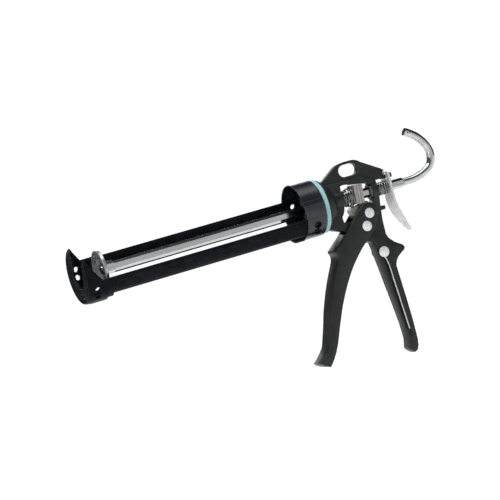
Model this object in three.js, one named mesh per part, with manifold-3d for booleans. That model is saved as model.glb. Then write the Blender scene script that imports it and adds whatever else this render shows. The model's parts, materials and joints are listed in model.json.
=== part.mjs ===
// Caulking gun with a turning cradle.
// Lengths are millimetres. Barrel frame: X along the barrel with 0 at the front cap's face and
// the hook at high X, Z up, Y = 0 the plane of the handles, barrel axis at Y = Z = 0.
// The finished group is shifted so that the origin is the centre of the hang hole.
import * as THREE from "three";
import { mergeVertices } from "three/addons/utils/BufferGeometryUtils.js";
import Module from "manifold-3d";

const wasm = await Module();
wasm.setup();

// ---- driving dimensions ----
const GAP = 0.3; // air between pieces that touch
const RUN = 0.2; // radial air of a sliding bore

const HANG_X = 288.8; // centre of the hang hole
const HANG_Z = 26;
const HANG_LONG = 19.5;
const HANG_HIGH = 11.6;

const CRADLE_TURN = 23; // degrees the cradle is turned towards -Y
const RAIL_IN = 25.1; // inner radius of the rails, for a 50 mm cartridge
const RAIL_T = 1.0;
const RAIL_ANGLE = 107.2; // degrees from the cradle's own up to a rail's middle
const RAIL_HALF = 21.8; // degrees
const RAIL_FRONT = 4.5;
const RAIL_REAR = 241;
const COLLAR_FRONT = 225;
const COLLAR_REAR = 246.2;
const COLLAR_R = 27.4;
const COLLAR_WALL = 1.0;
const COLLAR_BACK_T = 2.9;
const SPIGOT_R = 14; // body's spigot inside the collar's back
const SPIGOT_FRONT = COLLAR_REAR - COLLAR_BACK_T - GAP;
const RETAINER_REAR = SPIGOT_FRONT - GAP; // retaining plate
const RETAINER_T = 2;
const RETAINER_FRONT = RETAINER_REAR - RETAINER_T;
const RETAINER_R = 18;
const SCREW_R = 1.5;
const SCREW_HEAD_R = 2.5;
const SCREW_LONG = 9; // how far a screw reaches into the spigot
const SCREW_CIRCLE = 11.2;
const RING_FRONT = 246.5; // friction ring
const RING_REAR = 250.5;
const RING_R = 26.2;
const FLANGE_FRONT = 250.8; // body flange
const FLANGE_REAR = 253.8;
const FLANGE_R = 25;

const CAP_R = 26.9; // front cap's face
const SKIRT_R = 27.9;
const SKIRT_END = 28;
const CAP_T = 1.6;
const SLOT_HALF = 12.6; // half width of the nozzle slot
const RIVET_ANGLES = [101, 118]; // degrees from the cradle's own up
const RIVET_FRONT_X = 8.6;
const RIVET_REAR_X = 235.5;
const RIVET_BORE = 2.6;
const RIVET_SHANK = 3;

const ROD_FLATS = 8.2; // across the flats
const ROD_CORNER = ROD_FLATS / Math.sqrt(3); // centre to corner
const ROD_BORE = ROD_CORNER + RUN;
const ROD_FRONT = 36.2; // hex part starts
const ROD_REAR = 343; // hex part ends
const HOOK_R = 4;
const STUD_R = 3;
const PUSHER_R = 18.4;
const FRONT_BUSH_R = 6.5; // outside of the bushes the rod runs in
const REAR_BUSH_R = 6.2;

const WINDOW_FRONT = 275;
const WINDOW_REAR = 307;
const COLUMN_REAR = 313.6;
const BOX_HALF = 6; // half thickness of the body's box
const WEB_HALF = 2.75; // half thickness of the upper web
const BOSS_HALF = 7.1; // half width at the pivot and of the handle

const PIVOT = [290, -30.5]; // trigger pivot, X and Z
const PUSH = [296, -19]; // push pin, X and Z
const PIN_R = 3;
const HEAD_R = 4.9;
const CHEEK_IN = 8; // trigger channel, half widths
const CHEEK_OUT = 10;

const PLATE_MID = 292; // middle of the block of drive plates on the axis
const PLATE_T = 2.8;
const PLATE_TILT = 5.5; // degrees, top rearward
const PLATE_HALF_WIDE = 7.4;
const PLATE_TOP = 10.4;
const PLATE_LOW = -8.2;

const RELEASE_X = 326; // front face of the release plate on the axis
const RELEASE_T = 2;
const RELEASE_HALF = 9;

const EYE = [300.4, -58.8]; // needle rivet, X and Z
const EYE_R = 2;
const EYE_HEAD_R = 5.2;
const NEEDLE_R = 1;

const rad = THREE.MathUtils.degToRad;

// ---- solids ----
function toSolid(geometry) {
  const bare = geometry.clone();
  bare.deleteAttribute("normal");
  bare.deleteAttribute("uv");
  const merged = mergeVertices(bare, 1e-4);
  const corners = merged.index.array;
  const kept = [];
  for (let i = 0; i < corners.length; i += 3) {
    const [a, b, c] = [corners[i], corners[i + 1], corners[i + 2]];
    if (a !== b && b !== c && c !== a) kept.push(a, b, c);
  }
  const mesh = new wasm.Mesh({
    numProp: 3,
    vertProperties: new Float32Array(merged.attributes.position.array),
    triVerts: new Uint32Array(kept),
  });
  return new wasm.Manifold(mesh);
}

function toGeometry(solid) {
  const mesh = solid.getMesh();
  return new THREE.BufferGeometry()
    .setAttribute("position", new THREE.BufferAttribute(new Float32Array(mesh.vertProperties), 3))
    .setIndex(new THREE.BufferAttribute(new Uint32Array(mesh.triVerts), 1));
}

function join(first, ...others) {
  return others.reduce((sum, other) => sum.add(other), first);
}

function cut(first, ...others) {
  return others.reduce((sum, other) => sum.subtract(other), first);
}

// Profile of [radius, x] pairs turned about the X axis. It runs so that the solid lies on its left
// seen with radius up and x to the right reversed, that is from low x to high x on the outside.
function turned(profile, segments = 40) {
  const points = profile.map(([r, x]) => new THREE.Vector2(r, x));
  return toSolid(new THREE.LatheGeometry(points, segments).rotateZ(-Math.PI / 2));
}

// Tube or disc between two x values.
function tube(outer, inner, x0, x1, segments = 40) {
  if (inner === 0) return turned([[0, x0], [outer, x0], [outer, x1], [0, x1]], segments);
  return turned([[inner, x0], [outer, x0], [outer, x1], [inner, x1], [inner, x0]], segments);
}

function shapeOf(points) {
  return new THREE.Shape(points.map(([a, b]) => new THREE.Vector2(a, b)));
}

// Shape in X and Z, extruded across Y from -half to half, its edges rounded by bevel.
function across(shape, half, bevel = 0, curveSegments = 5, bevelSegments = 1) {
  const geometry = new THREE.ExtrudeGeometry(shape, {
    depth: 2 * (half - bevel),
    curveSegments,
    bevelEnabled: bevel > 0,
    bevelThickness: bevel,
    bevelSize: bevel,
    bevelOffset: -bevel,
    bevelSegments,
  });
  return toSolid(geometry.rotateX(Math.PI / 2).translate(0, half - bevel, 0));
}

// Shape in Y and Z, extruded along X from x0 to x1.
function along(shape, x0, x1, curveSegments = 6) {
  const geometry = new THREE.ExtrudeGeometry(shape, {
    depth: x1 - x0,
    curveSegments,
    bevelEnabled: false,
  });
  return toSolid(geometry.rotateZ(Math.PI / 2).rotateY(Math.PI / 2).translate(x0, 0, 0));
}

// Round bar across Y.
function crossBar(x, z, radius, y0, y1, segments = 20) {
  const geometry = new THREE.CylinderGeometry(radius, radius, y1 - y0, segments);
  return toSolid(geometry.translate(x, (y0 + y1) / 2, z));
}

function block(x0, x1, y0, y1, z0, z1) {
  const geometry = new THREE.BoxGeometry(x1 - x0, y1 - y0, z1 - z0);
  return toSolid(geometry.translate((x0 + x1) / 2, (y0 + y1) / 2, (z0 + z1) / 2));
}

function stadium(x, z, long, high) {
  const r = high / 2;
  const reach = (long - high) / 2;
  const shape = new THREE.Shape();
  shape.absarc(x + reach, z, r, -Math.PI / 2, Math.PI / 2, false);
  shape.absarc(x - reach, z, r, Math.PI / 2, 1.5 * Math.PI, false);
  return shape;
}

function disc(radius) {
  return new THREE.Shape().absarc(0, 0, radius, 0, 2 * Math.PI, false);
}

// Wire of a given radius along a curve.
function wire(curve, radius, steps, sides) {
  const geometry = new THREE.ExtrudeGeometry(disc(radius), {
    steps,
    curveSegments: sides,
    extrudePath: curve,
    bevelEnabled: false,
  });
  return toSolid(geometry);
}

// Hexagonal bar along X, corners up and down.
function hexBar(flats, x0, x1) {
  const corner = flats / Math.sqrt(3);
  const points = [];
  for (let i = 0; i < 6; i += 1) {
    const angle = rad(90 + 60 * i);
    points.push([corner * Math.cos(angle), corner * Math.sin(angle)]);
  }
  return along(shapeOf(points), x0, x1);
}

// Sector of a tube between two angles, measured from up towards -Y.
function sector(outer, inner, oneDegrees, otherDegrees, x0, x1, curveSegments = 7) {
  const start = rad(90 + Math.min(oneDegrees, otherDegrees));
  const end = rad(90 + Math.max(oneDegrees, otherDegrees));
  const shape = new THREE.Shape();
  shape.absarc(0, 0, outer, start, end, false);
  shape.absarc(0, 0, inner, end, start, true);
  return along(shape, x0, x1, curveSegments);
}

// Helix along X whose radius changes evenly from r0 at x0 to r1 at x1.
class Helix extends THREE.Curve {
  constructor(r0, r1, x0, x1, turns) {
    super();
    Object.assign(this, { r0, r1, x0, x1, turns });
  }

  getPoint(t, target = new THREE.Vector3()) {
    const angle = 2 * Math.PI * this.turns * t;
    const x = this.x0 + (this.x1 - this.x0) * t;
    const radius = this.r0 + (this.r1 - this.r0) * t;
    return target.set(x, radius * Math.sin(angle), radius * Math.cos(angle));
  }
}

// ---- cradle, drawn with its own up along +Z and then turned ----
function rail(side) {
  const from = RAIL_ANGLE - RAIL_HALF;
  const to = RAIL_ANGLE + RAIL_HALF;
  const beadAt = from + 9;
  const beadHalf = 2.6;
  const beadOut = 0.8;
  const outer = RAIL_IN + RAIL_T;
  const strip = sector(outer, RAIL_IN, side * from, side * to, RAIL_FRONT, RAIL_REAR);
  const bead = sector(
    outer + beadOut,
    RAIL_IN + RAIL_T / 2,
    side * (beadAt - beadHalf),
    side * (beadAt + beadHalf),
    SKIRT_END + 1.5,
    COLLAR_FRONT - 1,
    3,
  );
  return cut(join(strip, bead), ...rivetHoles(side, RIVET_FRONT_X), ...rivetHoles(side, RIVET_REAR_X));
}

// Cylinder whose axis is radial, at an angle from the cradle's up.
function radialBar(radius, r0, r1, degrees, x, segments = 12) {
  const geometry = new THREE.CylinderGeometry(radius, radius, r1 - r0, segments);
  geometry.rotateX(Math.PI / 2).translate(x, 0, (r0 + r1) / 2);
  return toSolid(geometry.rotateX(rad(degrees)));
}

function rivetHoles(side, x) {
  return RIVET_ANGLES.map((angle) => radialBar(RIVET_SHANK + GAP, 20, 32, side * angle, x));
}

// Hollow rivet: flush inside, a thin head outside.
function railRivet(side, angle, x, surface) {
  const headUnder = surface + GAP;
  const headTop = headUnder + 0.6;
  const profile = [
    [RIVET_BORE, RAIL_IN + 0.1],
    [RIVET_SHANK, RAIL_IN + 0.1],
    [RIVET_SHANK, headUnder],
    [RIVET_SHANK + 0.8, headUnder],
    [RIVET_SHANK + 0.5, headTop],
    [RIVET_SHANK - 0.1, headTop],
    [RIVET_BORE, headTop - 0.7],
    [RIVET_BORE, RAIL_IN + 0.1],
  ];
  const points = profile.map(([r, h]) => new THREE.Vector2(r, h));
  const geometry = new THREE.LatheGeometry(points, 12).rotateX(Math.PI / 2).translate(x, 0, 0);
  return toSolid(geometry.rotateX(rad(side * angle)));
}

function cradleCollar() {
  const inner = COLLAR_R - COLLAR_WALL;
  const backFront = COLLAR_REAR - COLLAR_BACK_T;
  const shell = turned(
    [
      [SPIGOT_R + GAP, backFront],
      [inner, backFront],
      [inner, COLLAR_FRONT],
      [COLLAR_R, COLLAR_FRONT],
      [COLLAR_R, COLLAR_REAR - 1],
      [COLLAR_R - 1, COLLAR_REAR],
      [SPIGOT_R + GAP, COLLAR_REAR],
      [SPIGOT_R + GAP, backFront],
    ],
    56,
  );
  const panelOut = 0.5;
  const panels = [1, -1].map((side) =>
    sector(
      COLLAR_R + panelOut,
      inner + 0.3,
      side * (RAIL_ANGLE - RAIL_HALF),
      side * (RAIL_ANGLE + RAIL_HALF + 2),
      COLLAR_FRONT,
      COLLAR_REAR - 3.5,
    ),
  );
  const grooveDeep = 0.5;
  const grooves = [54, -54, 180].map((angle) =>
    sector(
      COLLAR_R + 2,
      COLLAR_R - grooveDeep,
      angle - 5,
      angle + 5,
      COLLAR_FRONT + 1,
      COLLAR_REAR - 2,
      4,
    ),
  );
  const tongue = sector(COLLAR_R + 0.5, inner, 146, 214, COLLAR_FRONT - 6, COLLAR_FRONT + 1);
  const holes = [...rivetHoles(1, RIVET_REAR_X), ...rivetHoles(-1, RIVET_REAR_X)];
  return cut(join(shell, ...panels, tongue), ...grooves, ...holes);
}

function frontCap() {
  const inner = SKIRT_R - 1.5;
  const shell = turned(
    [
      [0, 1],
      [19.4, 1],
      [20, 0.1],
      [21.8, 0.1],
      [22.4, 1],
      [24.2, 1],
      [25, 0],
      [CAP_R - 0.5, 0],
      [CAP_R, 0.6],
      [SKIRT_R, 6],
      [SKIRT_R, SKIRT_END],
      [inner, SKIRT_END],
      [inner, 4],
      [CAP_R - 2.2, 1 + CAP_T],
      [0, 1 + CAP_T],
    ],
    56,
  );
  const slot = new THREE.Shape();
  slot.moveTo(SLOT_HALF, 40);
  slot.lineTo(-SLOT_HALF, 40);
  slot.absarc(0, 0, SLOT_HALF, Math.PI, 2 * Math.PI, false);
  // The skirt's upper edge falls straight from the horn tips to the rails' upper edges.
  const hornTop = 24.2;
  const skirtTop = 2.2;
  const scoop = shapeOf([
    [-5, 40],
    [-5, hornTop],
    [0, hornTop],
    [14.5, skirtTop],
    [40, skirtTop],
    [40, 40],
  ]);
  // The horn on the -Y side is cut back at a slant.
  const slant = shapeOf([
    [-SLOT_HALF + 1, 12],
    [-17.4, 22.4],
    [-17.4, 32],
    [-SLOT_HALF + 1, 32],
  ]);
  const belowRails = RAIL_ANGLE + RAIL_HALF;
  const notch = sector(40, 10, belowRails + 4, 360 - belowRails - 4, 20, SKIRT_END + 5);
  const corners = [1, -1].map((side) =>
    sector(40, 10, side * (belowRails - 12), side * (belowRails + 10), 25, SKIRT_END + 5),
  );
  const holes = [...rivetHoles(1, RIVET_FRONT_X), ...rivetHoles(-1, RIVET_FRONT_X)];
  return cut(
    shell,
    along(slot, -5, 4, 16),
    along(slant, -5, 8),
    across(scoop, 40),
    notch,
    ...corners,
    ...holes,
  );
}

function retainingPlate() {
  const plate = tube(RETAINER_R, FRONT_BUSH_R + GAP, RETAINER_FRONT, RETAINER_REAR);
  return cut(plate, ...screwHoles(RETAINER_FRONT - 1, RETAINER_REAR + 1));
}

function screwPlaces() {
  return [90, 210, 330].map((degrees) => {
    const angle = rad(degrees);
    return [SCREW_CIRCLE * Math.cos(angle), SCREW_CIRCLE * Math.sin(angle)];
  });
}

function screwHoles(x0, x1) {
  return screwPlaces().map(([y, z]) => alongBar(SCREW_R + GAP, y, z, x0, x1));
}

function alongBar(radius, y, z, x0, x1, segments = 16) {
  return tube(radius, 0, x0, x1, segments).translate([0, y, z]);
}

function retainingScrew([y, z]) {
  const under = RETAINER_FRONT - GAP;
  const front = under - 1.6;
  const head = tube(SCREW_HEAD_R, 0, front, under, 16);
  const shank = tube(SCREW_R, 0, under - 0.5, under + SCREW_LONG, 12);
  const socket = hexBar(2, front - 1, front + 0.9);
  return cut(join(head, shank), socket).translate([0, y, z]);
}

function frictionRing() {
  return tube(RING_R, SPIGOT_R + GAP, RING_FRONT, RING_REAR, 56);
}

// ---- push rod ----
function hookCurve() {
  const points = [new THREE.Vector3(ROD_REAR - 4, 0, 0), new THREE.Vector3(350, 0, 0)];
  const arcs = [
    { radius: 47.4, turn: 27 },
    { radius: 16, turn: 83 },
    { radius: 36, turn: 38 },
  ];
  let heading = 0;
  let [x, z] = [350, 0];
  for (const { radius, turn } of arcs) {
    const count = Math.ceil(turn / 9);
    for (let i = 0; i < count; i += 1) {
      const next = heading + turn / count;
      x += radius * (Math.sin(rad(next)) - Math.sin(rad(heading)));
      z += radius * (Math.cos(rad(heading)) - Math.cos(rad(next)));
      heading = next;
      points.push(new THREE.Vector3(x, 0, z));
    }
  }
  const tip = 7;
  points.push(new THREE.Vector3(x + tip * Math.cos(rad(heading)), 0, z + tip * Math.sin(rad(heading))));
  return new THREE.CatmullRomCurve3(points, false, "centripetal");
}

function pushRod() {
  const hook = wire(hookCurve(), HOOK_R, 28, 8);
  const stud = tube(STUD_R, 0, 23.4, ROD_FRONT + 1, 20);
  const bar = hexBar(ROD_FLATS, ROD_FRONT, ROD_REAR);
  const crossHole = crossBar(361, 45.4, 1.2, -8, 8, 12);
  return cut(join(bar, stud, hook), crossHole);
}

// Dished disc with a thin turned-back rim.
function pusherCup() {
  const bore = STUD_R + GAP;
  return turned(
    [
      [bore, 26.3],
      [8, 26.3],
      [15.2, 22.4],
      [17.2, 21.7],
      [PUSHER_R, 22.3],
      [PUSHER_R, 24.6],
      [PUSHER_R - 1.1, 24.6],
      [PUSHER_R - 1.3, 23.3],
      [15.6, 23.9],
      [8.4, 27.8],
      [bore, 27.8],
      [bore, 26.3],
    ],
    36,
  );
}

function nut(flats, x0, x1) {
  return cut(hexBar(flats, x0, x1), tube(STUD_R + GAP, 0, x0 - 1, x1 + 1, 20));
}

// ---- body ----
function handleShape() {
  const shape = new THREE.Shape();
  shape.moveTo(309, -36);
  shape.lineTo(292, -38);
  shape.lineTo(292.6, -44);
  shape.splineThru(
    [
      [294.9, -60],
      [297.4, -82],
      [300.1, -106],
      [302.6, -130],
      [303.2, -146],
    ].map(([x, z]) => new THREE.Vector2(x, z)),
  );
  shape.lineTo(301.2, -154.6);
  shape.quadraticCurveTo(302.5, -158.6, 307.6, -161);
  shape.quadraticCurveTo(313, -160, 313.6, -149);
  shape.splineThru(
    [
      [313.8, -128],
      [313.1, -104],
      [312.2, -84],
      [311.9, -75],
    ].map(([x, z]) => new THREE.Vector2(x, z)),
  );
  shape.quadraticCurveTo(313.5, -68.5, 320.5, -65);
  shape.quadraticCurveTo(328.5, -61.5, 324, -57.6);
  shape.quadraticCurveTo(310.5, -50.5, 309.4, -42);
  return shape;
}

function boxShape() {
  return shapeOf([
    [252, 17],
    [300, 17],
    [COLUMN_REAR, 10.5],
    [COLUMN_REAR, -4],
    [312, -14],
    [310, -29],
    [309.4, -48],
    [294, -48],
    [287.5, -44.5],
    [277.5, -40],
    [272, -31.2],
    [266, -29.3],
    [252, -24],
  ]);
}

function webShape() {
  const shape = new THREE.Shape();
  shape.moveTo(252, 12);
  shape.lineTo(253, 19);
  shape.quadraticCurveTo(257, 19.5, 264, 24.5);
  shape.lineTo(275.5, 32.2);
  shape.quadraticCurveTo(279.5, 34, 287, 34.4);
  shape.lineTo(295, 34.4);
  shape.quadraticCurveTo(300.5, 34, 304, 30.4);
  shape.lineTo(321.7, 19.8);
  shape.quadraticCurveTo(325.8, 17.8, 326, 15.3);
  shape.lineTo(324, 15.3);
  shape.lineTo(324, 9);
  shape.lineTo(COLUMN_REAR - 1, 9.4);
  shape.lineTo(COLUMN_REAR - 1, 0);
  shape.lineTo(300, 12);
  return shape;
}

function windowShape() {
  const shape = new THREE.Shape();
  shape.moveTo(WINDOW_FRONT, 11.5);
  shape.quadraticCurveTo(WINDOW_FRONT, 13.2, 277, 13.2);
  shape.lineTo(284, 13.2);
  shape.lineTo(289, 11.6);
  shape.lineTo(300, 9.8);
  shape.lineTo(WINDOW_REAR, 8.2);
  shape.lineTo(WINDOW_REAR, -8.4);
  shape.lineTo(303, -11);
  shape.lineTo(302.6, -23.6);
  shape.lineTo(280, -23.6);
  shape.lineTo(269.6, -21.2);
  shape.lineTo(269.4, -16);
  shape.quadraticCurveTo(273.8, -12, 274.2, -6);
  shape.lineTo(WINDOW_FRONT, -2);
  return shape;
}

function bodyCasting() {
  const front = turned(
    [
      [0, SPIGOT_FRONT],
      [SPIGOT_R, SPIGOT_FRONT],
      [SPIGOT_R, FLANGE_FRONT],
      [FLANGE_R - 0.6, FLANGE_FRONT],
      [FLANGE_R, FLANGE_FRONT + 0.6],
      [FLANGE_R, FLANGE_REAR - 0.6],
      [FLANGE_R - 2, FLANGE_REAR],
      [21.2, FLANGE_REAR + 0.6],
      [19.6, 260],
      [13.4, 262.8],
      [9.6, 266.4],
      [9.2, WINDOW_FRONT],
      [0, WINDOW_FRONT],
    ],
    44,
  );
  const box = across(boxShape(), BOX_HALF, 0.8);
  const web = across(webShape(), WEB_HALF, 0.5);
  const handle = across(handleShape(), BOSS_HALF, 2.5, 3, 2);
  const pivotBoss = crossBar(PIVOT[0], PIVOT[1], 8.2, -BOSS_HALF, BOSS_HALF, 32);
  const rearBoss = tube(8, 0, WINDOW_REAR, COLUMN_REAR, 32);
  const upperLug = across(
    shapeOf([
      [322, 8.6],
      [333, 8.2],
      [333, 12.8],
      [330.4, 12.8],
      [330.4, 11.9],
      [322, 12.2],
    ]),
    2.6,
    0.4,
  );
  const lowerLug = across(
    shapeOf([
      [308, -20.2],
      [317.2, -20.2],
      [317.8, -18.8],
      [317.8, -16.4],
      [308, -15.4],
    ]),
    2.6,
    0.4,
  );
  const needleGroove = across(
    shapeOf([
      [299.6, -66],
      [303.6, -66],
      [308.4, -146],
      [304.4, -146],
    ]),
    1,
  ).translate([0, -BOSS_HALF + 0.4, 0]);
  return cut(
    join(front, box, web, handle, pivotBoss, rearBoss, upperLug, lowerLug),
    across(windowShape(), 20),
    across(stadium(HANG_X, HANG_Z, HANG_LONG, HANG_HIGH), 10, 0, 12),
    tube(FRONT_BUSH_R + GAP, 0, SPIGOT_FRONT - 1, WINDOW_FRONT + 1, 32),
    tube(REAR_BUSH_R + GAP, 0, WINDOW_REAR - 1, COLUMN_REAR + 1, 32),
    crossBar(PIVOT[0], PIVOT[1], PIN_R + GAP, -12, 12),
    crossBar(EYE[0], EYE[1], EYE_R + GAP, -12, 12, 16),
    needleGroove,
    ...screwHoles(SPIGOT_FRONT - 1, SPIGOT_FRONT + SCREW_LONG),
  );
}

// Bush the rod runs in: a flange of one radius, then a sleeve of another back to rear.
function rodBush(flangeR, flangeFront, flangeRear, sleeveR, rear) {
  return turned(
    [
      [ROD_BORE, flangeFront],
      [flangeR, flangeFront],
      [flangeR, flangeRear],
      [sleeveR, flangeRear],
      [sleeveR, rear],
      [ROD_BORE, rear],
      [ROD_BORE, flangeFront],
    ],
    32,
  );
}

function frontRodBush() {
  const flangeRear = RETAINER_FRONT - GAP;
  return rodBush(8.5, flangeRear - 1.4, flangeRear, FRONT_BUSH_R, 262);
}

function rearRodBush() {
  const flangeRear = WINDOW_REAR - GAP;
  return rodBush(7.2, flangeRear - 1.6, flangeRear, REAR_BUSH_R, COLUMN_REAR - 0.4);
}

// ---- drive ----
function drivePlate(index) {
  const pitch = PLATE_T + GAP;
  const offset = (index - 1) * pitch;
  const plate = block(
    offset - PLATE_T / 2,
    offset + PLATE_T / 2,
    -PLATE_HALF_WIDE,
    PLATE_HALF_WIDE,
    PLATE_LOW,
    PLATE_TOP,
  );
  const bore = tube(ROD_BORE + 0.3, 0, -20, 20, 24);
  const tilted = plate.rotate([0, PLATE_TILT, 0]);
  return cut(tilted, bore).translate([PLATE_MID, 0, 0]);
}

function driveYoke() {
  const half = 5;
  const slotHalf = PIN_R + GAP;
  const shape = new THREE.Shape();
  shape.moveTo(282.4, -10);
  shape.lineTo(280, -12.4);
  shape.lineTo(282.6, -20.4);
  shape.lineTo(284.4, -22.8);
  shape.lineTo(PUSH[0] - slotHalf, -22.8);
  shape.lineTo(PUSH[0] - slotHalf, -17.4);
  shape.absarc(PUSH[0], -17.4, slotHalf, Math.PI, 0, true);
  shape.lineTo(PUSH[0] + slotHalf, -22.8);
  shape.lineTo(302, -22.8);
  shape.lineTo(302, -12);
  shape.lineTo(299.6, -7.2);
  shape.lineTo(297.1, -7.2);
  shape.lineTo(296.4, -9.4);
  shape.lineTo(286, -9.6);
  return across(shape, half, 0.4, 8);
}

function spring(r0, r1, wireR, x0, x1, turns) {
  const helix = new Helix(r0, r1, x0 + wireR, x1 - wireR, turns);
  return wire(helix, wireR, Math.round(turns * 14), 3);
}

// ---- trigger ----
function triggerShape() {
  const points = (list) => list.map(([x, z]) => new THREE.Vector2(x, z));
  const shape = new THREE.Shape();
  shape.moveTo(268, -31);
  shape.lineTo(251.8, -44.2);
  shape.quadraticCurveTo(250.4, -45.8, 251.6, -47.4);
  shape.quadraticCurveTo(253.6, -50.4, 251.6, -55);
  shape.splineThru(points([[240.7, -75.4], [231.5, -96.7], [225.3, -114.9], [219.6, -130.3]]));
  shape.quadraticCurveTo(215, -137, 206.8, -143.4);
  shape.quadraticCurveTo(209.5, -147.5, 216.5, -149.4);
  shape.quadraticCurveTo(223.5, -143, 229.8, -130);
  shape.splineThru(
    points([[236.6, -114.5], [244.8, -97], [254.6, -80], [265.8, -64.4], [278.4, -51.2], [286.6, -44.6]]),
  );
  shape.quadraticCurveTo(301, -35, 304.5, -22.5);
  shape.absarc(PUSH[0], PUSH[1], 10.6, rad(-18), rad(140), false);
  shape.lineTo(280.2, -19.4);
  return shape;
}

function trigger() {
  const cavity = new THREE.Shape();
  const points = (list) => list.map(([x, z]) => new THREE.Vector2(x, z));
  cavity.moveTo(245, -10);
  cavity.lineTo(266.4, -31.8);
  cavity.lineTo(268.2, -33.6);
  cavity.lineTo(255.6, -44);
  cavity.lineTo(256, -53);
  cavity.splineThru(points([[243.6, -76.8], [234.2, -97.8], [228, -115.9], [222.2, -131.5]]));
  cavity.lineTo(217.5, -138.6);
  cavity.lineTo(223.6, -144.4);
  cavity.lineTo(320, -100);
  cavity.lineTo(320, 10);
  cavity.lineTo(245, 10);
  return cut(
    across(triggerShape(), CHEEK_OUT, 1.6, 3, 2),
    across(cavity, CHEEK_IN),
    crossBar(PIVOT[0], PIVOT[1], PIN_R + GAP, -12, 12),
    crossBar(PUSH[0], PUSH[1], PIN_R + GAP, -12, 12),
  );
}

// Rivet across both cheeks with a low domed head at each end.
function rivet([x, z], shankR, headR, y0, y1, domeHigh) {
  const profile = (end, way) => [
    [headR, end],
    [headR, end + way * 0.5],
    [headR * 0.72, end + way * domeHigh * 0.8],
    [headR * 0.35, end + way * domeHigh],
  ];
  const outline = [
    [0, y0 - domeHigh],
    ...profile(y0, -1).reverse(),
    [shankR, y0],
    [shankR, y1],
    ...profile(y1, 1),
    [0, y1 + domeHigh],
  ];
  const points = outline.map(([r, y]) => new THREE.Vector2(r, y));
  return toSolid(new THREE.LatheGeometry(points, 20).translate(x, 0, z));
}

// ---- release plate and needle ----
function releasePlate() {
  const rear = RELEASE_X + RELEASE_T;
  const side = new THREE.Shape();
  side.moveTo(RELEASE_X, 14.7);
  side.lineTo(RELEASE_X - 0.6, -12);
  side.quadraticCurveTo(RELEASE_X - 0.4, -21, 329.2, -29.8);
  side.quadraticCurveTo(332.6, -38.4, 337, -46.6);
  side.lineTo(338.8, -45.4);
  side.quadraticCurveTo(334.6, -37.6, 331.2, -29.2);
  side.quadraticCurveTo(rear - 0.2, -21, rear - 0.6, -12);
  side.lineTo(rear, 14.7);
  const face = new THREE.Shape();
  const corner = 3;
  const tipR = 4.6;
  face.absarc(RELEASE_HALF - corner, 14.7 - corner, corner, 0, Math.PI / 2, false);
  face.absarc(-RELEASE_HALF + corner, 14.7 - corner, corner, Math.PI / 2, Math.PI, false);
  face.lineTo(-RELEASE_HALF, -20);
  face.quadraticCurveTo(-RELEASE_HALF, -30, -tipR, -46.6 + tipR);
  face.absarc(0, -46.6 + tipR, tipR, Math.PI, 2 * Math.PI, false);
  face.quadraticCurveTo(RELEASE_HALF, -30, RELEASE_HALF, -20);
  const blank = across(side, RELEASE_HALF, 0, 8).intersect(along(face, 310, 350, 6));
  return cut(
    blank,
    tube(ROD_BORE + 0.6, 0, 300, 350, 24),
    block(300, 350, -3, 3, 7.8, 13.4),
    block(300, 350, -6.6, -5, -15, -9),
  );
}

function needle() {
  const middle = -BOSS_HALF - 0.4 - NEEDLE_R;
  const washer = tube(4.2, EYE_R + GAP, -NEEDLE_R, NEEDLE_R, 16);
  const eye = washer.rotate([0, 0, 90]).translate([EYE[0], middle, EYE[1]]);
  const path = new THREE.CatmullRomCurve3(
    [
      [EYE[0] - 0.6, -61.8],
      [EYE[0] - 0.2, -63.6],
      [301.6, -66],
      [302.6, -70],
      [303.8, -90],
      [305, -112],
      [306.4, -137],
    ].map(([x, z]) => new THREE.Vector3(x, middle, z)),
    false,
    "centripetal",
  );
  return join(eye, wire(path, NEEDLE_R, 14, 3));
}

// ---- assembly ----
const CRADLE = { color: 0x16181a, roughness: 0.4, metalness: 0.5 };
const CAST = { color: 0x1d1f21, roughness: 0.5, metalness: 0.3 };
const STEEL = { color: 0xc9cccf, roughness: 0.25, metalness: 1 };
const GREY = { color: 0x8b8885, roughness: 0.5, metalness: 0.9 };
const SPRING = { color: 0xa9acad, roughness: 0.35, metalness: 1 };
const BLUE = { color: 0xa2d2d8, roughness: 0.6, metalness: 0 };

const group = new THREE.Group();
const gun = new THREE.Group();
gun.position.set(-HANG_X, 0, -HANG_Z);
group.add(gun);

function place(name, solid, look) {
  const mesh = new THREE.Mesh(toGeometry(solid), new THREE.MeshStandardMaterial(look));
  mesh.name = name;
  gun.add(mesh);
}

function placeCradle(name, solid, look) {
  place(name, solid.rotate([CRADLE_TURN, 0, 0]), look);
}

placeCradle("cradle_collar", cradleCollar(), CRADLE);
placeCradle("front_cap", frontCap(), CRADLE);
for (const [word, side] of [["near", 1], ["far", -1]]) {
  placeCradle(`rail_${word}`, rail(side), CRADLE);
  RIVET_ANGLES.forEach((angle, i) => {
    const front = railRivet(side, angle, RIVET_FRONT_X, SKIRT_R);
    const rear = railRivet(side, angle, RIVET_REAR_X, COLLAR_R + 0.5);
    placeCradle(`rail_rivet_${word}_front_${i + 1}`, front, CRADLE);
    placeCradle(`rail_rivet_${word}_rear_${i + 1}`, rear, CRADLE);
  });
}

place("body_casting", bodyCasting(), CAST);
place("friction_ring", frictionRing(), BLUE);
place("retaining_plate", retainingPlate(), STEEL);
screwPlaces().forEach((at, i) => place(`retaining_screw_${i + 1}`, retainingScrew(at), STEEL));
place("front_rod_bush", frontRodBush(), GREY);
place("rear_rod_bush", rearRodBush(), GREY);

place("push_rod", pushRod(), STEEL);
place("pusher_cup", pusherCup(), STEEL);
place("pusher_front_nut", nut(8.5, 24.2, 26), STEEL);
place("pusher_rear_nut", nut(11, 28.1, 35.9), STEEL);

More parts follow.
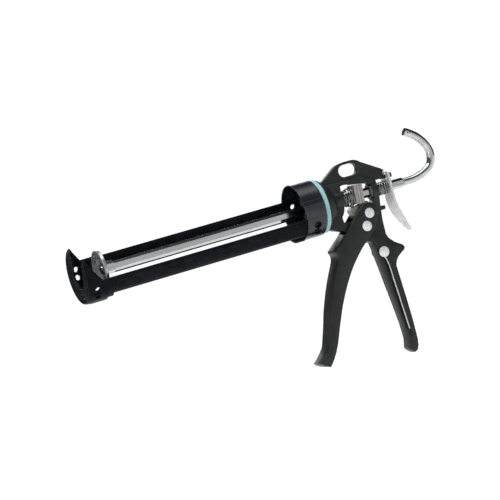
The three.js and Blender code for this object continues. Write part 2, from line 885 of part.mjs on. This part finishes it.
for (let i = 0; i < 3; i += 1) place(`drive_plate_${i + 1}`, drivePlate(i), GREY);
place("drive_yoke", driveYoke(), GREY);
place("drive_spring", spring(6.4, 9.4, 0.9, WINDOW_FRONT + GAP, 286, 3), SPRING);
place("brake_spring", spring(6, 6, 0.8, COLUMN_REAR + GAP, RELEASE_X - 0.8, 4), SPRING);

place("trigger", trigger(), CAST);
place("push_pin", rivet(PUSH, PIN_R, HEAD_R, -CHEEK_OUT - GAP, CHEEK_OUT + GAP, 1.5), STEEL);
place("pivot_rivet", rivet(PIVOT, PIN_R, HEAD_R, -CHEEK_OUT - GAP, CHEEK_OUT + GAP, 1.5), STEEL);
place("release_plate", releasePlate(), STEEL);
place("needle", needle(), STEEL);
place("needle_rivet", rivet(EYE, EYE_R, EYE_HEAD_R, -CHEEK_OUT - 0.2, BOSS_HALF + GAP, 1.4), STEEL);

export default group;
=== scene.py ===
"""Looks of the caulking gun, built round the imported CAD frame. Lengths are metres."""
import json
import math

import bmesh
import bpy
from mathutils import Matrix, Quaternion, Vector


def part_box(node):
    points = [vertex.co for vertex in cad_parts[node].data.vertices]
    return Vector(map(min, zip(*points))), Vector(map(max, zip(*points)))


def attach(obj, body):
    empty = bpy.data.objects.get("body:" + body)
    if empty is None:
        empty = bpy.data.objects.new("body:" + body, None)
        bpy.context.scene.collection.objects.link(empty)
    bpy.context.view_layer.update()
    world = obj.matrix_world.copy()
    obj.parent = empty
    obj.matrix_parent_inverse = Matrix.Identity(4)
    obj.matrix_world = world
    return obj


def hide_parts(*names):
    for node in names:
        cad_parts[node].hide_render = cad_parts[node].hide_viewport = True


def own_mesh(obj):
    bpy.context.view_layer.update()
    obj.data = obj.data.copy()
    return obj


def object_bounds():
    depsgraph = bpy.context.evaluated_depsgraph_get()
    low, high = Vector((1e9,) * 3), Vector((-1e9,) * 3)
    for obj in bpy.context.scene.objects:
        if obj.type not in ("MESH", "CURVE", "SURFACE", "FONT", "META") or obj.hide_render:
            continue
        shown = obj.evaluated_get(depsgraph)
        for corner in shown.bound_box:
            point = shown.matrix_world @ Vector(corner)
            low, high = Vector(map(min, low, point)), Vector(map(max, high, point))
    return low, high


MM = 0.001
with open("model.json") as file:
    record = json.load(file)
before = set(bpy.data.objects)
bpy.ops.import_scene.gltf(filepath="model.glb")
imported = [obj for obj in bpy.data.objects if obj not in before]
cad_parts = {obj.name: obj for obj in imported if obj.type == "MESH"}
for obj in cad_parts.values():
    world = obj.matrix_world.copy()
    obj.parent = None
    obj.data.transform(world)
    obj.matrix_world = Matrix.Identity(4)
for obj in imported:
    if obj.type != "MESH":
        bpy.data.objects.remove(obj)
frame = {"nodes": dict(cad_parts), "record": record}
nodes = frame["nodes"]
cad_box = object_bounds()


# ---- places read from the frame ----
def middle(node):
    low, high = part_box(node)
    return (low + high) / 2


AXIS_Z = middle("friction_ring").z  # height of the barrel's axis
FRONT_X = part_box("front_cap")[0].x  # the cap's face
WHOLE_LOW, WHOLE_HIGH = cad_box


def barrel(x, y, z):
    """A point given in millimetres from the cap's face and the barrel's axis."""
    return Vector((FRONT_X + x * MM, y * MM, AXIS_Z + z * MM))


# ---- camera ----
VIEW_AZIMUTH = -21.86  # angles in degrees, 0 looks along +Y
VIEW_ELEVATION = 3.0
VIEW_DISTANCE = 2.146
VIEW_ROLL = 15.21
VIEW_LENS = 164.1  # mm
SENSOR_WIDE = 36  # mm
VIEW_AIM = barrel(171.1, 0, -21.4)  # the point at the middle of the picture
CLIP_NEAR = 0.05
CLIP_FAR = 200


def make_camera():
    data = bpy.data.cameras.new("camera")
    data.sensor_width = SENSOR_WIDE
    data.lens = VIEW_LENS
    data.clip_start = CLIP_NEAR
    data.clip_end = CLIP_FAR
    camera = bpy.data.objects.new("camera", data)
    bpy.context.scene.collection.objects.link(camera)
    azimuth = math.radians(VIEW_AZIMUTH)
    elevation = math.radians(VIEW_ELEVATION)
    back = Vector(
        (
            math.sin(azimuth) * math.cos(elevation),
            -math.cos(azimuth) * math.cos(elevation),
            math.sin(elevation),
        )
    )
    camera.location = VIEW_AIM + back * VIEW_DISTANCE
    camera.rotation_mode = "QUATERNION"
    roll = Quaternion((0, 0, 1), -math.radians(VIEW_ROLL))
    camera.rotation_quaternion = (-back).to_track_quat("-Z", "Y") @ roll
    bpy.context.scene.camera = camera


# ---- small helpers for node trees ----
MIX_SHARE = 0  # places of the colour sockets on a Mix node
MIX_FIRST = 6
MIX_SECOND = 7
MIX_RESULT = 2
FULL_EDGE_WEAR_AND_HIGHLIGHT = 0.88  # cosine of the rounded normal's turn where an edge is fully lightened, by wear and a painted highlight
NO_EDGE_WEAR_OR_HIGHLIGHT = 0.998  # the same where this edge lightening begins
BEVEL_SAMPLES = 6


class Material:
    """A node material with one Principled shader and the few kinds of node used here."""

    def __init__(self, name):
        self.material = bpy.data.materials.new(name)
        self.material.use_nodes = True
        self.tree = self.material.node_tree
        self.tree.nodes.clear()
        output = self.add("OutputMaterial")
        self.shader = self.add("BsdfPrincipled")
        self.join(self.shader.outputs["BSDF"], output.inputs["Surface"])
        self.place = self.add("TexCoord").outputs["Object"]

    def add(self, kind):
        return self.tree.nodes.new("ShaderNode" + kind)

    def join(self, source, target):
        self.tree.links.new(source, target)

    def noise(self, size, detail, stretch=(1, 1, 1)):
        """Noise whose blotches are about size metres across, drawn out by stretch."""
        mapping = self.add("Mapping")
        mapping.inputs["Scale"].default_value = [1 / (size * s) for s in stretch]
        self.join(self.place, mapping.inputs["Vector"])
        node = self.add("TexNoise")
        node.inputs["Scale"].default_value = 1
        node.inputs["Detail"].default_value = detail
        self.join(mapping.outputs["Vector"], node.inputs["Vector"])
        return node.outputs["Fac"]

    def spread(self, source, low, high, start, end):
        """Maps source from start..end to low..high, clamped."""
        node = self.add("MapRange")
        node.inputs["From Min"].default_value = start
        node.inputs["From Max"].default_value = end
        node.inputs["To Min"].default_value = low
        node.inputs["To Max"].default_value = high
        self.join(source, node.inputs["Value"])
        return node.outputs["Result"]

    def mix(self, share, first, second):
        """Colour between first and second, each a colour or an output."""
        node = self.add("Mix")
        node.data_type = "RGBA"
        self.join(share, node.inputs[MIX_SHARE])
        for place, value in ((MIX_FIRST, first), (MIX_SECOND, second)):
            socket = node.inputs[place]
            if isinstance(value, tuple):
                socket.default_value = (*value, 1)
            else:
                self.join(value, socket)
        return node.outputs[MIX_RESULT]

    def math(self, operation, first, second):
        """Arithmetic on two values, each a number or an output."""
        node = self.add("Math")
        node.operation = operation
        for socket, value in zip(node.inputs, (first, second)):
            if isinstance(value, (int, float)):
                socket.default_value = value
            else:
                self.join(value, socket)
        return node.outputs["Value"]

    def rounded(self, radius):
        """A normal that rounds the edges over radius."""
        bevel = self.add("Bevel")
        bevel.samples = BEVEL_SAMPLES
        bevel.inputs["Radius"].default_value = radius
        return bevel.outputs["Normal"]

    def near_edge(self, normal):
        """How near an edge a point is, 0 to 1, from how far its rounded normal has turned."""
        plain = self.add("NewGeometry")
        dot = self.add("VectorMath")
        dot.operation = "DOT_PRODUCT"
        self.join(normal, dot.inputs[0])
        self.join(plain.outputs["Normal"], dot.inputs[1])
        return self.spread(dot.outputs["Value"], 1, 0, FULL_EDGE_WEAR_AND_HIGHLIGHT, NO_EDGE_WEAR_OR_HIGHLIGHT)

    def bump(self, height, depth, normal):
        """A normal shaken by height, depth metres deep, on top of another normal."""
        node = self.add("Bump")
        node.inputs["Distance"].default_value = depth
        node.inputs["Strength"].default_value = 1
        self.join(height, node.inputs["Height"])
        self.join(normal, node.inputs["Normal"])
        return node.outputs["Normal"]

    def set(self, **values):
        """Sets shader sockets: a number or colour directly, an output by a link."""
        for key, value in values.items():
            socket = self.shader.inputs[key.replace("_", " ")]
            if isinstance(value, tuple):
                socket.default_value = (*value, 1)
            elif isinstance(value, (int, float)):
                socket.default_value = value
            else:
                self.join(value, socket)


# ---- materials ----
PAINT_CLOUDS = 9 * MM  # size of the blotches of tone
PAINT_SHEEN = 4 * MM  # size of the duller and glossier patches
EDGE_BREAK_SIZE = 1.6 * MM  # size of the gaps in the lightened edge
LEAST_EDGE_LIGHTENING = 0.35  # share of the lighter edge colour along an edge, partly rubbed paint and partly painted highlight
MOST_EDGE_LIGHTENING = 0.9
FINE_PEEL = 0.35  # height of the fine orange peel beside the coarse one
METAL_CLOUDS = 5 * MM
NOISE_LOW = 0.3  # the range that noise mostly keeps to
NOISE_HIGH = 0.7


def black_paint(name, dark, light, edge_wear_and_highlight, round_edge, rough, grain, grain_depth, specular):
    """Black paint: cloudy colour, fine orange peel, edges lighter, partly rubbed wear and partly a
    painted highlight.
    """
    m = Material(name)
    rounded = m.rounded(round_edge)
    clouds = m.noise(PAINT_CLOUDS, 3)
    colour = m.mix(m.spread(clouds, 0, 1, 0.35, 0.65), dark, light)
    edge_breaks = m.spread(m.noise(EDGE_BREAK_SIZE, 4), 0, 1, 0.42, 0.7)
    patchy = m.spread(edge_breaks, LEAST_EDGE_LIGHTENING, MOST_EDGE_LIGHTENING, 0, 1)
    # Edges are lightened towards the worn colour: partly rubbed paint, partly a painted highlight
    # along each edge.
    colour = m.mix(m.math("MULTIPLY", m.near_edge(rounded), patchy), colour, edge_wear_and_highlight)
    peel = m.noise(grain, 2)
    fine = m.noise(grain / 4, 2)
    height = m.math("ADD", peel, m.math("MULTIPLY", fine, FINE_PEEL))
    low, high = rough
    m.set(
        Base_Color=colour,
        Roughness=m.spread(m.noise(PAINT_SHEEN, 3), low, high, NOISE_LOW, NOISE_HIGH),
        Normal=m.bump(height, grain_depth, rounded),
        Specular_IOR_Level=specular,
    )
    return m.material


def plated(
    name, dark, light, rough, grain, grain_depth, stretch=(1, 1, 1), metal=1.0, round_edge=0.3 * MM
):
    """Bare or plated metal: slight tone changes and drawing or tumbling marks."""
    m = Material(name)
    rounded = m.rounded(round_edge)
    clouds = m.noise(METAL_CLOUDS, 3, stretch)
    colour = m.mix(m.spread(clouds, 0, 1, NOISE_LOW, NOISE_HIGH), dark, light)
    marks = m.noise(grain, 3, stretch)
    low, high = rough
    m.set(
        Base_Color=colour,
        Metallic=metal,
        Roughness=m.spread(marks, low, high, NOISE_LOW, NOISE_HIGH),
        Normal=m.bump(marks, grain_depth, rounded),
    )
    return m.material


def blue_plastic():
    """Moulded friction ring: pale blue, satin, with faint clouds and a fine grain."""
    m = Material("blue_plastic")
    rounded = m.rounded(0.4 * MM)
    clouds = m.spread(m.noise(6 * MM, 3), 0, 1, NOISE_LOW, NOISE_HIGH)
    m.set(
        Base_Color=m.mix(clouds, (0.25, 0.44, 0.48), (0.3, 0.5, 0.53)),
        Roughness=m.spread(m.noise(2 * MM, 2), 0.42, 0.58, NOISE_LOW, NOISE_HIGH),
        Normal=m.bump(m.noise(0.5 * MM, 2), 0.02 * MM, rounded),
        Subsurface_Weight=0.05,
        Subsurface_Scale=0.002,
    )
    return m.material


def floor_paper():
    """Pale studio floor with a barely visible tooth."""
    m = Material("floor_paper")
    colour = m.mix(m.noise(0.6, 2), (0.93, 0.93, 0.93), (0.96, 0.96, 0.96))
    m.set(Base_Color=colour, Roughness=0.9, Specular_IOR_Level=0.1)
    return m.material


# Each paint's worn colour is its lighter edge colour: rubbed paint and a painted highlight.
CAST = black_paint(
    "cast_black",
    dark=(0.0055, 0.0064, 0.0068),
    light=(0.0105, 0.0114, 0.0118),
    edge_wear_and_highlight=(0.05, 0.05, 0.054),
    round_edge=1.0 * MM,
    rough=(0.34, 0.48),
    grain=1.3 * MM,
    grain_depth=0.035 * MM,
    specular=0.34,
)
SHEET = black_paint(
    "sheet_black",
    dark=(0.003, 0.004, 0.006),
    light=(0.0075, 0.0085, 0.0115),
    edge_wear_and_highlight=(0.07, 0.075, 0.09),
    round_edge=0.5 * MM,
    rough=(0.22, 0.34),
    grain=1.8 * MM,
    grain_depth=0.02 * MM,
    specular=0.03,
)
COLLAR = black_paint(
    "collar_black",
    dark=(0.006, 0.007, 0.011),
    light=(0.011, 0.0125, 0.018),
    edge_wear_and_highlight=(0.07, 0.075, 0.09),
    round_edge=0.5 * MM,
    rough=(0.2, 0.3),
    grain=2.2 * MM,
    grain_depth=0.015 * MM,
    specular=0.5,
)
CHROME = plated(
    "rod_chrome",
    dark=(0.4, 0.42, 0.42),
    light=(0.54, 0.56, 0.56),
    rough=(0.1, 0.18),
    grain=0.5 * MM,
    grain_depth=0.0004 * MM,
    stretch=(14, 1, 1),
    round_edge=0.1 * MM,
)
NICKEL = plated(
    "nickel",
    dark=(0.6, 0.63, 0.65),
    light=(0.74, 0.76, 0.78),
    rough=(0.2, 0.36),
    grain=0.6 * MM,
    grain_depth=0.01 * MM,
    metal=0.35,
)
WIRE = plated(
    "spring_wire",
    dark=(0.13, 0.135, 0.135),
    light=(0.24, 0.245, 0.245),
    rough=(0.24, 0.4),
    grain=0.4 * MM,
    grain_depth=0.008 * MM,
)
GROUND = plated(
    "ground_steel",
    dark=(0.3, 0.285, 0.275),
    light=(0.37, 0.355, 0.34),
    rough=(0.36, 0.54),
    grain=0.35 * MM,
    grain_depth=0.012 * MM,
    stretch=(1, 6, 1),
    metal=0.6,
)
DULL = plated(
    "dull_steel",
    dark=(0.09, 0.09, 0.092),
    light=(0.16, 0.158, 0.155),
    rough=(0.36, 0.54),
    grain=0.5 * MM,
    grain_depth=0.01 * MM,
    metal=0.7,
)
SATIN = plated(
    "satin_plate",
    dark=(0.56, 0.57, 0.56),
    light=(0.68, 0.69, 0.68),
    rough=(0.36, 0.5),
    grain=0.4 * MM,
    grain_depth=0.008 * MM,
    stretch=(1, 1, 5),
    metal=0.5,
)
CUP = plated(
    "cup_steel",
    dark=(0.34, 0.34, 0.37),
    light=(0.6, 0.6, 0.63),
    rough=(0.2, 0.34),
    grain=5 * MM,
    grain_depth=0.001 * MM,
    metal=0.7,
)
YOKE = plated(
    "yoke_steel",
    dark=(0.17, 0.165, 0.16),
    light=(0.27, 0.26, 0.25),
    rough=(0.34, 0.5),
    grain=0.5 * MM,
    grain_depth=0.012 * MM,
    metal=0.5,
)
BLUE = blue_plastic()

# The finish of each material slot, and the nodes whose look differs from their slot's.
FINISH = {
    "black_steel": SHEET,
    "black_cast": CAST,
    "chrome": CHROME,
    "zinc_steel": NICKEL,
    "bare_steel": GROUND,
    "blue_ring": BLUE,
}
SPECIAL = {
    "release_plate": SATIN,
    "rear_rod_bush": DULL,
    "front_rod_bush": DULL,
    "retaining_plate": DULL,
    "retaining_screw_1": DULL,
    "retaining_screw_2": DULL,
    "retaining_screw_3": DULL,
    "drive_yoke": YOKE,
    "pusher_cup": CUP,
    "cradle_collar": COLLAR,
    "needle_rivet": NICKEL,
    "pusher_front_nut": CHROME,
    "pusher_rear_nut": CHROME,
    "needle": CHROME,
}


# ---- CAD nodes: smooth round faces, crisp edges, their material ----
SHARP = math.radians(40)  # a turn between faces above this stays a crisp edge
SAME_POINT = 0.001 * MM


def soft_facets():
    """Node group that joins split corners and shades smooth except across sharp edges."""
    tree = bpy.data.node_groups.new("soft_facets", "GeometryNodeTree")
    tree.interface.new_socket("Geometry", in_out="INPUT", socket_type="NodeSocketGeometry")
    tree.interface.new_socket("Geometry", in_out="OUTPUT", socket_type="NodeSocketGeometry")
    start = tree.nodes.new("NodeGroupInput")
    merge = tree.nodes.new("GeometryNodeMergeByDistance")
    merge.inputs["Distance"].default_value = SAME_POINT
    faces = tree.nodes.new("GeometryNodeSetShadeSmooth")
    faces.domain = "FACE"
    angle = tree.nodes.new("GeometryNodeInputMeshEdgeAngle")
    sharp = tree.nodes.new("FunctionNodeCompare")
    sharp.data_type = "FLOAT"
    sharp.operation = "GREATER_THAN"
    sharp.inputs[1].default_value = SHARP
    edges = tree.nodes.new("GeometryNodeSetShadeSmooth")
    edges.domain = "EDGE"
    edges.inputs["Shade Smooth"].default_value = False
    end = tree.nodes.new("NodeGroupOutput")
    join = tree.links.new
    join(start.outputs[0], merge.inputs[0])
    join(merge.outputs[0], faces.inputs[0])
    join(angle.outputs[0], sharp.inputs[0])
    join(sharp.outputs[0], edges.inputs["Selection"])
    join(faces.outputs[0], edges.inputs[0])
    join(edges.outputs[0], end.inputs[0])
    return tree


FACETS = soft_facets()


def dress(piece, material):
    """Gives a piece its material and lets soft_facets, not stored normals, shade it."""
    piece.data.materials.clear()
    piece.data.materials.append(material)
    if "custom_normal" in piece.data.attributes:
        piece.data.attributes.remove(piece.data.attributes["custom_normal"])
    modifier = piece.modifiers.new("soft_facets", "NODES")
    modifier.node_group = FACETS


def dress_cad():
    slots = {row["node"]: row["material_slot"] for row in frame["record"]["subparts"]}
    for name, piece in nodes.items():
        dress(piece, SPECIAL.get(name, FINISH[slots[name]]))


# ---- springs, wound finer than the frame's ----
SPRING_TURNS = 4
DRIVE_FRONT_R = 6.6 * MM  # the drive spring widens towards the drive plates
DRIVE_REAR_R = 9.4 * MM
DRIVE_WIRE_R = 0.8 * MM
BRAKE_R = 6.1 * MM
BRAKE_WIRE_R = 0.62 * MM
STEPS_PER_TURN = 40
WIRE_SIDES = 12
CLOSED = 0.4  # how far the end coils are drawn together


def helix(name, start, end, r_start, r_end, wire):
    """Round wire of radius wire, wound about the barrel's axis from start to end."""
    steps = SPRING_TURNS * STEPS_PER_TURN
    points = []
    for i in range(steps + 1):
        share = i / steps
        ease = share * share * (3 - 2 * share)
        x = start + wire + (end - start - 2 * wire) * (CLOSED * ease + (1 - CLOSED) * share)
        radius = r_start + (r_end - r_start) * share
        angle = 2 * math.pi * SPRING_TURNS * share
        points.append(Vector((x, radius * math.sin(angle), AXIS_Z + radius * math.cos(angle))))
    mesh = bmesh.new()
    rings = []
    for i, point in enumerate(points):
        ahead = points[min(i + 1, steps)] - points[max(i - 1, 0)]
        out = (point - Vector((point.x, 0, AXIS_Z))).normalized()
        side = ahead.normalized().cross(out).normalized()
        ring = []
        for k in range(WIRE_SIDES):
            turn = 2 * math.pi * k / WIRE_SIDES
            ring.append(mesh.verts.new(point + wire * (math.cos(turn) * out + math.sin(turn) * side)))
        rings.append(ring)
    for one, other in zip(rings, rings[1:]):
        for k in range(WIRE_SIDES):
            after = (k + 1) % WIRE_SIDES
            mesh.faces.new((one[k], one[after], other[after], other[k]))
    mesh.faces.new(rings[0])
    mesh.faces.new(rings[-1][::-1])
    bmesh.ops.recalc_face_normals(mesh, faces=mesh.faces)
    data = bpy.data.meshes.new(name)
    mesh.to_mesh(data)
    mesh.free()
    piece = bpy.data.objects.new(name, data)
    bpy.context.scene.collection.objects.link(piece)
    for face in data.polygons:
        face.use_smooth = len(face.vertices) == 4
    data.materials.append(WIRE)
    return piece


def make_springs():
    """The tapered spring before the drive plates and the straight one behind the body.

    Both are parented to the body and keep their length.
    """
    low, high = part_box("drive_spring")
    piece = helix("drive_coil", low.x, high.x, DRIVE_FRONT_R, DRIVE_REAR_R, DRIVE_WIRE_R)
    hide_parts("drive_spring")
    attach(piece, "body")
    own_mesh(piece)

    low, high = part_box("brake_spring")
    piece = helix("brake_coil", low.x, high.x, BRAKE_R, BRAKE_R, BRAKE_WIRE_R)
    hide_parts("brake_spring")
    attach(piece, "body")
    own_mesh(piece)


# ---- floor and light ----
FLOOR_DROP = 0.5  # the gun hangs free, this far above the floor
FLOOR_HALF = 6.0  # wide enough that its edge is never in the picture
HORIZON = 0.2  # tones of the studio walls, times STUDIO_FRONT or STUDIO_BEHIND
GAP = 0.032
OVERHEAD = 0.9
STUDIO_FRONT = 3.6
STUDIO_BEHIND = 0.3
BACKDROP = 1.05  # plain white, seen only directly


def make_floor():
    z = WHOLE_LOW.z - FLOOR_DROP
    mesh = bpy.data.meshes.new("floor")
    signs = ((-1, -1), (1, -1), (1, 1), (-1, 1))
    mesh.from_pydata([(FLOOR_HALF * x, FLOOR_HALF * y, z) for x, y in signs], [], [(0, 1, 2, 3)])
    mesh.materials.append(floor_paper())
    floor = bpy.data.objects.new("floor", mesh)
    bpy.context.scene.collection.objects.link(floor)


def make_world():
    """Studio: bright at eye level in front and overhead, dark between them and behind the gun."""
    world = bpy.data.worlds.new("studio")
    bpy.context.scene.world = world
    world.use_nodes = True
    tree = world.node_tree
    tree.nodes.clear()
    add = tree.nodes.new
    join = tree.links.new
    place = add("ShaderNodeTexCoord")
    split = add("ShaderNodeSeparateXYZ")
    ramp = add("ShaderNodeValToRGB")
    heights = (0.0, 0.2, 0.32, 0.82, 0.9, 1.0)  # sine of the elevation where each tone sits
    tones = (HORIZON, HORIZON, GAP, GAP, OVERHEAD, OVERHEAD)
    elements = ramp.color_ramp.elements
    for i, (at, value) in enumerate(zip(heights, tones)):
        stop = elements[i] if i < 2 else elements.new(at)  # a new ramp has two stops
        stop.position = at
        stop.color = (value, value, value, 1)
    across = add("ShaderNodeMath")
    across.operation = "ADD"
    behind = add("ShaderNodeMapRange")
    behind.inputs["From Min"].default_value = 0.1
    behind.inputs["From Max"].default_value = 0.65
    behind.inputs["To Min"].default_value = STUDIO_FRONT
    behind.inputs["To Max"].default_value = STUDIO_BEHIND
    studio = add("ShaderNodeBackground")
    backdrop = add("ShaderNodeBackground")
    backdrop.inputs["Color"].default_value = (1, 1, 1, 1)
    backdrop.inputs["Strength"].default_value = BACKDROP
    path = add("ShaderNodeLightPath")
    choose = add("ShaderNodeMixShader")
    output = add("ShaderNodeOutputWorld")
    join(place.outputs["Generated"], split.inputs[0])
    join(split.outputs["Z"], ramp.inputs[0])
    join(split.outputs["X"], across.inputs[0])
    join(split.outputs["Y"], across.inputs[1])
    join(across.outputs[0], behind.inputs["Value"])
    join(ramp.outputs["Color"], studio.inputs["Color"])
    join(behind.outputs["Result"], studio.inputs["Strength"])
    join(path.outputs["Is Camera Ray"], choose.inputs[0])
    join(studio.outputs[0], choose.inputs[1])
    join(backdrop.outputs[0], choose.inputs[2])
    join(choose.outputs[0], output.inputs["Surface"])


def sun(direction, strength, angle):
    """Broad soft sun shining from direction; angle in degrees."""
    data = bpy.data.lights.new("sun", "SUN")
    data.energy = strength
    data.angle = math.radians(angle)
    light = bpy.data.objects.new("sun", data)
    light.rotation_mode = "QUATERNION"
    light.rotation_quaternion = (-Vector(direction)).to_track_quat("-Z", "Y")
    bpy.context.scene.collection.objects.link(light)


def lamp(name, at, size, power, aim):
    """Soft box at a place, shining at aim; power in watts."""
    data = bpy.data.lights.new(name, "AREA")
    data.shape = "RECTANGLE"
    data.size, data.size_y = size
    data.energy = power
    light = bpy.data.objects.new(name, data)
    light.location = at
    light.rotation_mode = "QUATERNION"
    light.rotation_quaternion = (Vector(aim) - Vector(at)).to_track_quat("-Z", "Y")
    bpy.context.scene.collection.objects.link(light)


def make_lights():
    """Weak sun from the front left, a tall strip at the left, a broad lamp on the far side."""
    target = (WHOLE_LOW + WHOLE_HIGH) / 2
    sun((-0.35, -0.35, 1), 1.6, 20)
    lamp("strip", (-1.8, -0.75, 0.1), (0.3, 1.4), 4, target)
    lamp("back", (0.5, 1.9, 0.7), (1.4, 0.8), 12, target)


# ---- the scene ----
bpy.context.scene.view_settings.view_transform = "Standard"
make_camera()
make_world()
make_floor()
make_lights()
dress_cad()
make_springs()
